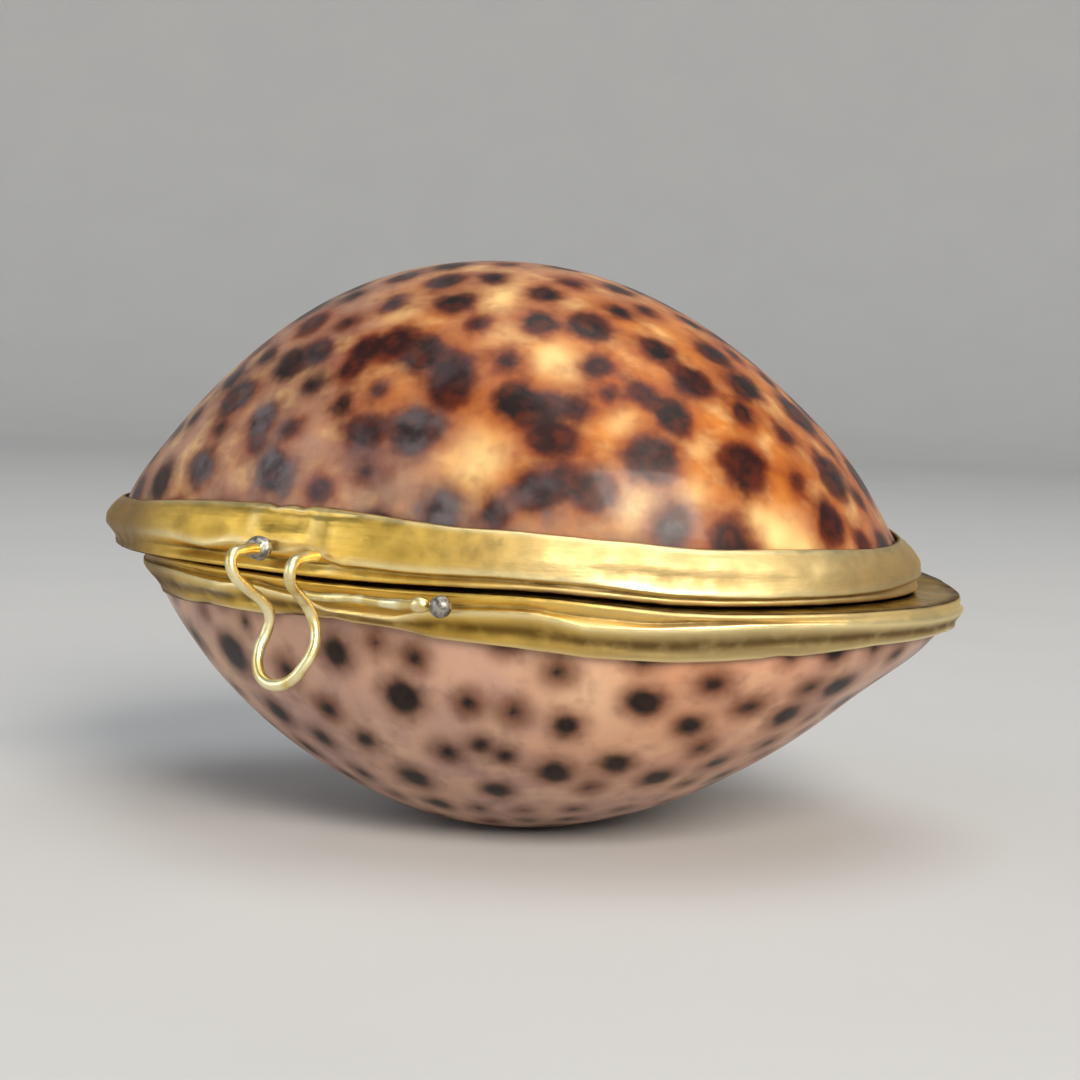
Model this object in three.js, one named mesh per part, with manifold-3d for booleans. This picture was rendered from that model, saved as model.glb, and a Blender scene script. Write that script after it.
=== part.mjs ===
// A trinket box made of two cowrie shell halves. Each half is held in a wrought brass rim,
// the lid turns on a small hinge at the back, and a bent wire loop at the front drops over
// a catch wire on the lower rim. Millimetres, +Z up, +X along the box, -Y the front.
// The origin is the middle of the small flat spot that the box rests on.
import * as THREE from "three";
import { mergeVertices } from "three/addons/utils/BufferGeometryUtils.js";
import Module from "manifold-3d";

const wasm = await Module();
wasm.setup();

// ---- driving dimensions -------------------------------------------------------------

const SHELL = {
  halfLength: 40.1, // outline of both halves at their cut edges
  halfWidth: 28.2,
  egg: 0.05, // how much wider the +X half of the outline is
  wall: 1.9,
  straight: 3.15, // height of the nearly upright wall next to the cut edge
  edgeGap: 1.0, // from the seam to a cut edge
};
// A dome rises to depth above its upright wall. Lengthwise it is pointed (power and fullness),
// across it is rounder, and its highest point drifts off the middle of the outline.
const ACROSS_FULLNESS = 0.58;
const LOWER_DOME = { depth: 23.4, power: 1.94, fullness: 0.92, driftX: -2.0, driftY: -0.8 };
const UPPER_DOME = { depth: 27.0, power: 2.07, fullness: 0.89, driftX: -1.0, driftY: 0 };
const FLAT_SPOT = { cut: 0.5, share: 0.15 }; // the worn underside: its depth, and share of the outline
const LID_SHIFT_X = -4.2; // the lid sits a little off its base
const DOME_RINGS = 9;
const RIM_SIDES = 56;

const CLEARANCE = 0.3; // gap between neighbouring pieces
const OVERCUT = 1; // how far a cutting solid runs past the one it cuts
const RIM = { seamHalfGap: 0.2, height: 5.05, sheet: 0.6, bulge: 1.9, innerLip: 2.3, rolledEdge: 0.6 };
// The rim's outside from the seam up: [share of the bulge, share of the height]
const RIM_OUTSIDE = [
  [0.83, 0.04],
  [0.93, 0.2],
  [1, 0.44],
  [0.86, 0.68],
];

const HINGE = {
  centreX: -2,
  width: 16,
  leafThick: 0.6,
  leafHeight: 4.7,
  barrelRadius: 1.5,
  boreRadius: 0.8,
  pinRadius: 0.7,
  pinOverhang: 0.6,
  knuckles: 3,
  sunk: 0.35, // how far the barrel lies inside the leaf's outer face
  sides: 24,
};

const WIRE_SIDES = 8; // an arc is cut into two sides for each curve segment
const CLASP = { angle: 254.6, wireRadius: 0.48, steps: 48 };
const CATCH = { from: 250, to: 265.4, wireRadius: 0.42, z: -1.35 };
// Drops of metal beside a rim: the angle, and how far out from the ridge their middles are
const CATCH_BEAD = { angle: 266.9, out: 0.95, radius: 0.62, stretch: [1, 1, 1] };
const CATCH_BALL = { angle: 269.7, out: 1.25, radius: 1.0, stretch: [1, 0.9, 1] };
// The drop that holds the loop's left end, with a socket that the wire stands in
const CLASP_DROP = { along: -3.2, out: 0.8, z: 2.45, radius: 1.05, stretch: [1.1, 0.65, 1], socketGap: 0.1 };

const SEAM_HEIGHT = SHELL.straight + LOWER_DOME.depth - FLAT_SPOT.cut;

// The wire loop's centreline: [along the rim, out from the rim's ridge, above the seam]
const LOOP_PATH = [
  [-2.95, 0.85, 2.4],
  [-3.05, 3.0, 2.45],
  [-3.15, 4.9, 1.9],
  [-2.95, 5.0, 0.6],
  [-2.45, 3.4, -1.0],
  [-2.0, 1.65, -2.3],
  [-1.75, 0.95, -3.6],
  [-2.0, 1.1, -5.0],
  [-2.25, 1.75, -6.4],
  [-1.95, 2.4, -8.0],
  [-0.95, 2.8, -9.0],
  [0.5, 2.9, -9.25],
  [1.9, 2.75, -8.7],
  [3.05, 2.3, -7.3],
  [3.55, 1.7, -5.9],
  [3.35, 1.1, -4.6],
  [2.95, 0.95, -3.4],
  [2.75, 1.65, -2.1],
  [2.9, 3.4, -0.8],
  [3.15, 4.9, 0.5],
  [3.25, 4.8, 1.7],
  [3.2, 3.0, 2.25],
  [3.1, 0.85, 2.3],
];

// ---- materials ----------------------------------------------------------------------

const finish = (color, roughness, metalness) =>
  new THREE.MeshStandardMaterial({ color, roughness, metalness });
const SHELL_DARK = finish(0xa8663a, 0.18, 0);
const SHELL_PALE = finish(0xc9a28b, 0.2, 0);
const BRASS = finish(0xb79a3e, 0.38, 1);
const BRASS_WIRE = finish(0xd8bf6a, 0.35, 1);
const SOLDER = finish(0x8f8f8c, 0.45, 1);

// ---- solids -------------------------------------------------------------------------

/** A closed mesh as a manifold solid, with its seam vertices merged and its faces outward. */
function solidFrom(geometry) {
  const bare = geometry.clone();
  bare.deleteAttribute("normal");
  bare.deleteAttribute("uv");
  const merged = mergeVertices(bare, 1e-5);
  const spots = merged.attributes.position.array;
  const corner = (i) => new THREE.Vector3().fromArray(spots, 3 * i);
  const faces = [];
  let volume = 0;
  for (let i = 0; i < merged.index.count; i += 3) {
    const [a, b, c] = [0, 1, 2].map((k) => merged.index.getX(i + k));
    if (a === b || b === c || c === a) continue;
    faces.push([a, b, c]);
    volume += corner(a).dot(corner(b).cross(corner(c)));
  }
  const order = volume > 0 ? faces : faces.map(([a, b, c]) => [a, c, b]);
  return new wasm.Manifold(
    new wasm.Mesh({
      numProp: 3,
      vertProperties: new Float32Array(spots),
      triVerts: new Uint32Array(order.flat()),
    }),
  );
}

function geometryFrom(solid) {
  const mesh = solid.getMesh();
  const geometry = new THREE.BufferGeometry();
  geometry.setAttribute("position", new THREE.BufferAttribute(mesh.vertProperties, 3));
  geometry.setIndex(new THREE.BufferAttribute(mesh.triVerts, 1));
  geometry.computeVertexNormals();
  return geometry;
}

function piece(name, solid, material) {
  const mesh = new THREE.Mesh(geometryFrom(solid), material);
  mesh.name = name;
  return mesh;
}

/** Turns a profile of [radius, height] points about Z, then moves every vertex by warp. */
function turned(profile, sides, warp) {
  const points = profile.map(([radius, height]) => new THREE.Vector2(radius, height));
  const geometry = new THREE.LatheGeometry(points, sides);
  geometry.rotateX(Math.PI / 2);
  const spots = geometry.attributes.position;
  const spot = new THREE.Vector3();
  for (let i = 0; i < spots.count; i += 1) {
    warp(spot.fromBufferAttribute(spots, i));
    spots.setXYZ(i, spot.x, spot.y, spot.z);
  }
  return solidFrom(geometry);
}

// ---- the egg-shaped outline ---------------------------------------------------------

function outlinePoint(angle) {
  const x = SHELL.halfLength * Math.cos(angle);
  const y = SHELL.halfWidth * Math.sin(angle) * (1 + SHELL.egg * Math.cos(angle));
  return new THREE.Vector3(x, y, 0);
}

/** Point, tangent and outward normal of the outline at an angle in radians. */
function outlineFrame(angle) {
  const step = 1e-4;
  const tangent = outlinePoint(angle + step).sub(outlinePoint(angle - step)).normalize();
  return { at: outlinePoint(angle), tangent, normal: new THREE.Vector3(tangent.y, -tangent.x, 0) };
}

/** A point that is out from the outline by a distance, at a height above the seam. */
function beside(angle, out, height) {
  const { at, normal } = outlineFrame(angle);
  return at.clone().addScaledVector(normal, out).setZ(height);
}

// ---- shell halves -------------------------------------------------------------------

/** Height above the upright wall, as a share of the depth, at (x, y) within the unit circle. */
function domeShare(shape, x, y) {
  const open = Math.max(1 - x * x, 1e-9);
  const along = Math.max(1 - Math.abs(x) ** shape.power, 0) ** shape.fullness;
  return along * Math.max((open - y * y) / open, 0) ** ACROSS_FULLNESS;
}

/** One solid dome above its mouth, smaller by inset all round, its top cut off at limit. */
function dome(shape, inset, mouthZ, limit) {
  const profile = [
    [0, 0],
    [1, 0],
  ];
  const lastTurn = Math.acos(FLAT_SPOT.share);
  for (let i = 0; i <= DOME_RINGS; i += 1) profile.push([Math.cos((lastTurn * i) / DOME_RINGS), 1]);
  profile.push([0, 1]);
  return turned(profile, RIM_SIDES, (p) => {
    const rise = (shape.depth - inset) * domeShare(shape, p.x, p.y);
    const drift = p.z * (1 - Math.min(p.x * p.x + p.y * p.y, 1));
    const z = p.z > 0 ? Math.min(SHELL.straight + rise, limit) : mouthZ;
    p.set(
      (SHELL.halfLength - inset) * p.x + shape.driftX * drift,
      (SHELL.halfWidth - inset) * p.y * (1 + SHELL.egg * p.x) + shape.driftY * drift,
      z,
    );
  });
}

function shellHalf(shape, flatCut) {
  const outside = dome(shape, 0, SHELL.edgeGap, SHELL.straight + shape.depth - flatCut);
  const inside = dome(shape, SHELL.wall, SHELL.edgeGap - OVERCUT, Infinity);
  return outside.subtract(inside);
}

/** How far the dome has drawn in from its outline at a height above the seam. */
function drawnIn(shape, angle, height) {
  if (height <= SHELL.straight) return 0;
  let [inner, outer] = [0.5, 1];
  for (let i = 0; i < 30; i += 1) {
    const middle = (inner + outer) / 2;
    const share = domeShare(shape, middle * Math.cos(angle), middle * Math.sin(angle));
    if (SHELL.straight + shape.depth * share > height) inner = middle;
    else outer = middle;
  }
  const { at, normal } = outlineFrame(angle);
  return (1 - outer) * at.dot(normal);
}

// ---- brass rims ---------------------------------------------------------------------

/** Sheet brass folded round a cut edge: a flange in the seam, a bulged wall outside and a
 *  short lip inside. Profile points are [out from the shell's outline, above the seam]. */
function rim(shape) {
  const { seamHalfGap, height, sheet, bulge, innerLip, rolledEdge } = RIM;
  const flangeTop = SHELL.edgeGap - CLEARANCE;
  const inner = -SHELL.wall - CLEARANCE;
  const profile = [
    ...RIM_OUTSIDE.map(([out, z]) => [bulge * out, height * z]),
    [CLEARANCE + sheet * rolledEdge, height],
    [CLEARANCE, height],
    [CLEARANCE, SHELL.straight],
    [CLEARANCE, flangeTop],
    [inner, flangeTop],
    [inner, innerLip],
    [inner - sheet, innerLip],
    [inner - sheet, seamHalfGap],
  ];
  const closed = [...profile, profile[0]].map(([out, z]) => [SHELL.halfLength + out, z]);
  return turned(closed, RIM_SIDES, (p) => {
    const angle = Math.atan2(p.y, p.x);
    const out = Math.hypot(p.x, p.y) - SHELL.halfLength;
    const lip = out < RIM.sheet + CLEARANCE ? drawnIn(shape, angle, p.z) : 0;
    p.copy(beside(angle, out - lip, p.z));
  });
}

/** The same solid upside down, for the base. */
const flipped = (solid) => solid.mirror([0, 0, 1]);

// ---- wires and beads ----------------------------------------------------------------

function wire(points, radius, steps) {
  const section = new THREE.Shape();
  section.absarc(0, 0, radius, 0, 2 * Math.PI);
  const extrudePath = new THREE.CatmullRomCurve3(points, false, "centripetal");
  const options = { extrudePath, steps, curveSegments: WIRE_SIDES / 2, bevelEnabled: false };
  return solidFrom(new THREE.ExtrudeGeometry(section, options));
}

function blob(radius, stretch, place) {
  const geometry = new THREE.SphereGeometry(radius, 12, 8);
  geometry.scale(...stretch);
  geometry.translate(place.x, place.y, place.z);
  return solidFrom(geometry);
}

const radians = THREE.MathUtils.degToRad;

/** A place near the clasp: along the rim, out from its ridge and above the seam. */
function atClasp(along, out, z) {
  const { tangent } = outlineFrame(radians(CLASP.angle));
  return beside(radians(CLASP.angle), RIM.bulge + out, z).addScaledVector(tangent, along);
}

function claspLoop(radius) {
  return wire(LOOP_PATH.map((place) => atClasp(...place)), radius, CLASP.steps);
}

function claspSolder() {
  const { along, out, z, radius, stretch, socketGap } = CLASP_DROP;
  return blob(radius, stretch, atClasp(along, out, z)).subtract(claspLoop(CLASP.wireRadius + socketGap));
}

function catchDrop({ angle, out, radius, stretch }) {
  return blob(radius, stretch, beside(radians(angle), RIM.bulge + out, CATCH.z));
}

function catchWire() {
  const points = [];
  const stations = 5;
  for (let i = 0; i < stations; i += 1) {
    const angle = radians(THREE.MathUtils.lerp(CATCH.from, CATCH.to, i / (stations - 1)));
    points.push(beside(angle, RIM.bulge + CLEARANCE + CATCH.wireRadius, CATCH.z));
  }
  return wire(points, CATCH.wireRadius, 2 * stations);
}

// ---- hinge --------------------------------------------------------------------------

const HINGE_PLANE_Y = SHELL.halfWidth + RIM.bulge + CLEARANCE;
const HINGE_AXIS_Y = HINGE_PLANE_Y + HINGE.leafThick + HINGE.barrelRadius - HINGE.sunk;

function box(x0, x1, y0, y1, z0, z1) {
  const geometry = new THREE.BoxGeometry(x1 - x0, y1 - y0, z1 - z0);
  geometry.translate((x0 + x1) / 2, (y0 + y1) / 2, (z0 + z1) / 2);
  return solidFrom(geometry);
}

function rod(radius, x0, x1) {
  const geometry = new THREE.CylinderGeometry(radius, radius, x1 - x0, HINGE.sides);
  geometry.rotateZ(Math.PI / 2);
  geometry.translate((x0 + x1) / 2, HINGE_AXIS_Y, 0);
  return solidFrom(geometry);
}

/** One leaf above the seam, with the knuckles whose places are listed. */
function hingeLeaf(places) {
  const left = HINGE.centreX - HINGE.width / 2;
  const step = HINGE.width / HINGE.knuckles;
  const leafY = [HINGE_PLANE_Y, HINGE_PLANE_Y + HINGE.leafThick];
  const start = HINGE.barrelRadius + CLEARANCE;
  let leaf = box(left, left + HINGE.width, ...leafY, start, HINGE.leafHeight);
  for (const place of places) {
    const x0 = left + place * step + CLEARANCE / 2;
    const x1 = left + (place + 1) * step - CLEARANCE / 2;
    leaf = leaf.add(box(x0, x1, ...leafY, 0, HINGE.leafHeight));
    leaf = leaf.add(rod(HINGE.barrelRadius, x0, x1));
  }
  return leaf.subtract(rod(HINGE.boreRadius, left - OVERCUT, left + HINGE.width + OVERCUT));
}

function hingePin() {
  const left = HINGE.centreX - HINGE.width / 2 - HINGE.pinOverhang;
  return rod(HINGE.pinRadius, left, left + HINGE.width + 2 * HINGE.pinOverhang);
}

// ---- the box ------------------------------------------------------------------------

const base = new THREE.Group();
base.add(
  piece("lower_shell", flipped(shellHalf(LOWER_DOME, FLAT_SPOT.cut)), SHELL_PALE),
  piece("lower_rim", flipped(rim(LOWER_DOME)), BRASS),
  piece("catch_wire", catchWire(), BRASS_WIRE),
  piece("catch_bead", catchDrop(CATCH_BEAD), BRASS_WIRE),
  piece("catch_solder", catchDrop(CATCH_BALL), SOLDER),
  piece("hinge_leaf_lower", flipped(hingeLeaf([0, 2])), BRASS),
  piece("hinge_pin", hingePin(), BRASS_WIRE),
);

const lid = new THREE.Group();
lid.position.x = LID_SHIFT_X;
lid.add(
  piece("upper_shell", shellHalf(UPPER_DOME, 0), SHELL_DARK),
  piece("upper_rim", rim(UPPER_DOME), BRASS),
  piece("clasp_loop", claspLoop(CLASP.wireRadius), BRASS_WIRE),
  piece("clasp_solder", claspSolder(), SOLDER),
);

const hingeSide = new THREE.Group();
hingeSide.add(piece("hinge_leaf_upper", hingeLeaf([1]), BRASS));

const shellBox = new THREE.Group();
shellBox.position.set(-LOWER_DOME.driftX, -LOWER_DOME.driftY, SEAM_HEIGHT);
shellBox.add(base, lid, hingeSide);

export default shellBox;
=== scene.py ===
"""Dresses the cowrie shell box: two spotted shell halves in wrought brass rims, a bent wire
clasp with its catch at the front, and a small butt hinge at the back.

Sizes are in millimetres until a piece is placed, and the row frame is in metres.
"""

import logging
import math
import random
from contextlib import contextmanager
from dataclasses import dataclass
from enum import Enum
from typing import Any, Iterator, Optional, Sequence

import bpy
import numpy as np
from mathutils import Matrix, Vector, noise


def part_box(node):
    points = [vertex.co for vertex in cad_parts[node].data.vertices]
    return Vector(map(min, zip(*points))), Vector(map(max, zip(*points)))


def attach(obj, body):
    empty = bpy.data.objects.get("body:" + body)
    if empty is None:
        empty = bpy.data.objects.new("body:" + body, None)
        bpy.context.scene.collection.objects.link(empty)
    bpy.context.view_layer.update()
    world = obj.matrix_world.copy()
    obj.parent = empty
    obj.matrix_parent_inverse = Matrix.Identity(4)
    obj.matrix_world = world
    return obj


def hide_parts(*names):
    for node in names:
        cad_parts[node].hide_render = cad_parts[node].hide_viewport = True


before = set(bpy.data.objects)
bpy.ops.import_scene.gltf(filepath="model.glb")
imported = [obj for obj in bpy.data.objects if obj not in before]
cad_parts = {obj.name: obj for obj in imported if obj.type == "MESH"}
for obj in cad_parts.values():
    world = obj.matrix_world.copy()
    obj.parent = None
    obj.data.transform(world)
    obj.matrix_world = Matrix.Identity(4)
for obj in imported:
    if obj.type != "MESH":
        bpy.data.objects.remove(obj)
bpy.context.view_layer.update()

log = logging.getLogger("shell_box")
Object = bpy.types.Object
Socket = bpy.types.NodeSocket
MM = 0.001
FAR = 1000.0  # a distance in mm that rules a place out
SEAM_SAG = (  # how far the front of the seam strays up or down at places along X, in mm
    (-31.0, 0.5), (-24.0, 0.42), (-18.0, 0.3), (-11.0, 0.08), (-4.0, 0.0), (8.0, -0.03),
    (12.0, -0.2), (17.0, -0.62), (21.0, -0.98), (25.0, -1.13), (31.0, -1.15),
)


# ---- small helpers ------------------------------------------------------------------


def deselect_all() -> None:
    """Leaves nothing selected, so that the next operator acts on one object alone."""
    if bpy.context.object and bpy.context.object.mode != "OBJECT":
        bpy.ops.object.mode_set(mode="OBJECT")
    bpy.ops.object.select_all(action="DESELECT")


def pick(obj: Object) -> None:
    """Makes one object the active and only selected one.

    Args:
        obj: The object to select.
    """
    deselect_all()
    obj.select_set(True)
    bpy.context.view_layer.objects.active = obj


@contextmanager
def editing() -> Iterator[None]:
    """Opens the active mesh for editing with all of it selected, and closes it afterwards."""
    bpy.ops.object.mode_set(mode="EDIT")
    bpy.ops.mesh.select_all(action="SELECT")
    yield
    bpy.ops.object.mode_set(mode="OBJECT")


def apply_modifier(obj: Object, kind: str, **settings: Any) -> None:
    """Adds a modifier with its settings and applies it.

    Args:
        obj: The object that gets it.
        kind: Blender's name for the modifier type.
        settings: Values for the modifier's own properties.
    """
    pick(obj)
    modifier = obj.modifiers.new(kind.title(), kind)
    for name, value in settings.items():
        setattr(modifier, name, value)
    bpy.ops.object.modifier_apply(modifier=modifier.name)


def outward(obj: Object) -> None:
    """Merges doubles and turns every face outwards.

    Args:
        obj: A closed mesh.
    """
    pick(obj)
    with editing():
        bpy.ops.mesh.remove_doubles(threshold=1e-7)
        bpy.ops.mesh.normals_make_consistent(inside=False)


def coordinates(obj: Object, kind: str = "co") -> np.ndarray:
    """The vertex places of a mesh, or its normals, as an (n, 3) array.

    Args:
        obj: The mesh object.
        kind: "co" for the places or "normal" for the normals.

    Returns:
        The array.
    """
    found = np.empty(len(obj.data.vertices) * 3)
    obj.data.vertices.foreach_get(kind, found)
    return found.reshape(-1, 3)


def move_vertices(obj: Object, places: np.ndarray) -> None:
    """Puts every vertex of a mesh at its new place.

    Args:
        obj: The mesh object.
        places: An (n, 3) array.
    """
    obj.data.vertices.foreach_set("co", places.astype(np.float32).ravel())
    obj.data.update()


def write_attribute(obj: Object, name: str, values: np.ndarray) -> None:
    """Stores one number for each vertex, which a material reads by name.

    Args:
        obj: The mesh object.
        name: The attribute's name.
        values: One number for each vertex.
    """
    layer = obj.data.attributes.new(name, "FLOAT", "POINT")
    layer.data.foreach_set("value", values.astype(np.float32))


def smooth_shaded(obj: Object, crease: float = 40.0) -> None:
    """Shades a mesh smooth, with sharp edges above an angle.

    Args:
        obj: The mesh object.
        crease: The angle in degrees from which an edge stays sharp.
    """
    pick(obj)
    bpy.ops.object.shade_smooth_by_angle(angle=math.radians(crease))


def settle(obj: Object) -> None:
    """Lets a piece follow the front of the seam, which rises a little to the left and sags to
    the right. Both halves follow it alike, so they still meet.

    Args:
        obj: The mesh object.
    """
    places = coordinates(obj)
    across, back, height = (places / MM).T
    sag = np.interp(across, *zip(*SEAM_SAG)) * smoothstep(20, 5, back)
    places[:, 2] += sag * smoothstep(12, 4, np.abs(height - SEAM)) * MM
    move_vertices(obj, places)


def hand_over(
    obj: Object, name: str, body: str, node: str, slot: str, *materials: bpy.types.Material
) -> None:
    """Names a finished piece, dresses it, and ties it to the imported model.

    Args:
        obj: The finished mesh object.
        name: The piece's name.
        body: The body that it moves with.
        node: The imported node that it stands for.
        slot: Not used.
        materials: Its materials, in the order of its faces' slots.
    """
    pick(obj)
    bpy.ops.object.transform_apply(location=True, rotation=True, scale=True)
    settle(obj)
    obj.name = obj.data.name = name
    obj.data.materials.clear()
    for material in materials:
        obj.data.materials.append(material)
    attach(obj, body)
    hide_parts(node)
    log.info("%s: %d faces on %s", name, len(obj.data.polygons), body)


def smoothstep(low: float, high: float, value: np.ndarray) -> np.ndarray:
    """A soft step from 0 at low to 1 at high."""
    share = np.clip((value - low) / (high - low), 0, 1)
    return share * share * (3 - 2 * share)


def ripple(places: np.ndarray, size: float, seed: float) -> np.ndarray:
    """Smooth noise between about -1 and 1.

    Args:
        places: An (n, 3) array in millimetres.
        size: The width of one swelling in millimetres.
        seed: Shifts the pattern.

    Returns:
        One number for each place.
    """
    shift = Vector((seed, seed * 1.7, -seed))
    return np.array([noise.noise(Vector(place) / size + shift) for place in places])


# ---- materials ----------------------------------------------------------------------


def linear(hex_colour: str) -> tuple[float, float, float, float]:
    """An sRGB hex colour as linear red, green, blue and alpha.

    Args:
        hex_colour: Six hex digits.

    Returns:
        The linear colour.
    """
    parts = [int(hex_colour[i : i + 2], 16) / 255 for i in (0, 2, 4)]
    red, green, blue = [p / 12.92 if p <= 0.04045 else ((p + 0.055) / 1.055) ** 2.4 for p in parts]
    return (red, green, blue, 1.0)


class NodeTree:
    """A material's node tree with its Principled shader."""

    def __init__(self, name: str) -> None:
        """Makes an empty material.

        Args:
            name: The material's name.
        """
        self.material = bpy.data.materials.new(name)
        self.material.use_nodes = True
        self.tree = self.material.node_tree
        self.shader = self.tree.nodes["Principled BSDF"]

    def add(self, kind: str, inputs: Optional[dict] = None, **settings: Any) -> bpy.types.Node:
        """Adds a node with its settings, values and links.

        Args:
            kind: The node's type name.
            inputs: Socket names or numbers, each with a value or an output socket.
            settings: Values for the node's own properties.

        Returns:
            The new node.
        """
        node = self.tree.nodes.new(kind)
        for name, value in settings.items():
            setattr(node, name, value)
        for socket, value in (inputs or {}).items():
            if isinstance(value, Socket):
                self.tree.links.new(value, node.inputs[socket])
            else:
                node.inputs[socket].default_value = value
        return node

    def drive(self, socket: str, output: Socket) -> None:
        """Links an output to one of the shader's sockets."""
        self.tree.links.new(output, self.shader.inputs[socket])

    def fix(self, **values: Any) -> None:
        """Sets constants on the shader's own sockets, with _ for a space."""
        for name, value in values.items():
            self.shader.inputs[name.replace("_", " ")].default_value = value

    def attribute(self, name: str) -> Socket:
        """The value of a vertex attribute."""
        return self.add("ShaderNodeAttribute", attribute_name=name).outputs["Fac"]

    def grain(self, size_mm: float, detail: float = 3.0, stretch: Sequence[float] = (1, 1, 1)) -> Socket:
        """Noise on Object coordinates.

        Args:
            size_mm: The width of one grain.
            detail: How many finer octaves it has.
            stretch: How much longer a grain is along each axis.

        Returns:
            The noise value's socket.
        """
        place = self.add("ShaderNodeTexCoord").outputs["Object"]
        scale = [1 / s for s in stretch]
        mapped = self.add("ShaderNodeMapping", {"Vector": place, "Scale": scale}).outputs["Vector"]
        made = self.add(
            "ShaderNodeTexNoise", {"Vector": mapped, "Scale": 1 / (size_mm * MM), "Detail": detail}
        )
        return made.outputs["Fac"]

    def ranged(self, value: Any, low: float, high: float, to_low: float = 0, to_high: float = 1) -> Socket:
        """A value taken softly from one range to another.

        Args:
            value: The input socket.
            low: The input that gives to_low.
            high: The input that gives to_high.
            to_low: The lowest output.
            to_high: The highest output.

        Returns:
            The output socket.
        """
        made = self.add(
            "ShaderNodeMapRange",
            {"Value": value, "From Min": low, "From Max": high, "To Min": to_low, "To Max": to_high},
            interpolation_type="SMOOTHSTEP",
        )
        return made.outputs["Result"]

    def maths(self, operation: str, first: Any, second: Any) -> Socket:
        """The result of a sum on two values."""
        return self.add("ShaderNodeMath", {0: first, 1: second}, operation=operation).outputs[0]

    def times(self, first: Any, second: Any) -> Socket:
        """The product of two values."""
        return self.maths("MULTIPLY", first, second)

    def plus(self, first: Any, second: Any) -> Socket:
        """The sum of two values."""
        return self.maths("ADD", first, second)

    def minus(self, first: Any, second: Any) -> Socket:
        """The first value less the second."""
        return self.maths("SUBTRACT", first, second)

    def blend(self, share: Any, first: Any, second: Any) -> Socket:
        """Mixes two colours.

        Args:
            share: How much of the second colour, as a socket or a number.
            first: A colour's hex digits or a socket.
            second: A colour's hex digits or a socket.

        Returns:
            The colour's socket.
        """
        colours = [linear(c) if isinstance(c, str) else c for c in (first, second)]
        inputs = {0: share, 6: colours[0], 7: colours[1]}
        return self.add("ShaderNodeMix", inputs, data_type="RGBA").outputs[2]

    def bump(self, height: Socket, depth_mm: float) -> None:
        """Raises the surface by a height pattern.

        Args:
            height: The pattern, from 0 to 1.
            depth_mm: The rise from 0 to 1.
        """
        made = self.add("ShaderNodeBump", {"Height": height, "Strength": 1.0, "Distance": depth_mm * MM})
        self.drive("Normal", made.outputs["Normal"])


@dataclass(frozen=True)
class CowrieEnamel:
    """The polished outside of a cowrie: layers of glossy aragonite over sunk pigment spots.

    The eye sees soft-edged spots under a clear, wet-looking coat, with light glowing in the
    ground between them.
    """

    name: str
    ground: str
    ground_cool: str
    ground_warm: str
    ground_bright: str
    halo: str
    halo_warm: str
    core: str
    core_red: str
    veil: str
    edge_wander: float = 0.45  # how far a spot's edge strays from round, in mm
    halo_reach: float = 1.3  # how far outside a spot's edge its halo begins, in mm
    halo_share: float = 0.85
    core_reach: float = 0.35  # how far outside its edge the dark middle begins, in mm
    core_full: float = 0.5  # how far inside it the dark middle is full, in mm
    wisps: float = 0.15  # how strongly the ground is streaked with its pale colour
    curdling: float = 0.1  # how mottled the dark middles are

    def build(self) -> bpy.types.Material:
        """Makes the material, which reads the attributes that Mottle writes."""
        tree = NodeTree(self.name)
        amber_glow = tree.attribute("amber_glow")
        bright = tree.attribute("bright")
        veiled = tree.attribute("veil")
        darkness = tree.attribute("darkness")
        redness = tree.attribute("redness")
        broad = tree.times(tree.minus(tree.grain(3.4, 2), 0.5), 3.2 * self.edge_wander)
        fine = tree.times(tree.minus(tree.grain(1.1, 3), 0.5), self.edge_wander)
        inside = tree.plus(tree.attribute("inside"), tree.plus(broad, fine))
        clouds = tree.ranged(tree.grain(9, 3), 0.35, 0.68)
        ground = tree.blend(clouds, self.ground, self.ground_cool)
        # painted glow of light through the thin shell, mixed with the shell's own amber: the ground turns
        # warm under the amber glows
        ember = tree.times(amber_glow, tree.ranged(tree.grain(5, 3), 0.2, 0.62, 0.55, 1.0))
        ground = tree.blend(ember, ground, self.ground_warm)
        wisps = tree.times(tree.ranged(tree.grain(3.2, 5, (1.8, 1, 1)), 0.46, 0.7), self.wisps)
        ground = tree.blend(tree.maths("MAXIMUM", bright, wisps), ground, self.ground_bright)
        fleck = tree.times(tree.ranged(tree.grain(2.2, 2), 0.5, 0.8), 0.3)
        ground = tree.blend(fleck, ground, self.halo)
        halo = tree.blend(tree.maths("MAXIMUM", amber_glow, redness), self.halo, self.halo_warm)
        core = tree.blend(redness, self.core, self.core_red)
        curdled = tree.times(tree.ranged(tree.grain(1.7, 2), 0.4, 0.68), self.curdling)
        core = tree.blend(curdled, core, halo)
        colour = tree.blend(tree.ranged(inside, -self.halo_reach, 0.7, 0, self.halo_share), ground, halo)
        shrunk = tree.minus(inside, tree.times(tree.minus(1.0, darkness), 0.9))
        core_share = tree.times(tree.ranged(shrunk, -self.core_reach, self.core_full), 0.98)
        colour = tree.blend(core_share, colour, core)
        milk = tree.times(veiled, tree.ranged(tree.grain(2.6, 3), 0.34, 0.66, 0.15, 0.95))
        colour = tree.blend(milk, colour, self.veil)
        tree.drive("Base Color", colour)
        tree.drive("Roughness", tree.ranged(tree.grain(4, 4), 0.3, 0.7, 0.34, 0.46))
        tree.bump(tree.grain(5, 2), 0.06)
        tree.fix(
            Metallic=0.0,
            IOR=1.42,
            Specular_IOR_Level=0.3,
            Coat_Weight=0.14,
            Coat_Roughness=0.1,
            Subsurface_Weight=0.06,
            Subsurface_Scale=1.2 * MM,
            Subsurface_Radius=(1.0, 0.45, 0.25),
        )
        return tree.material


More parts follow.
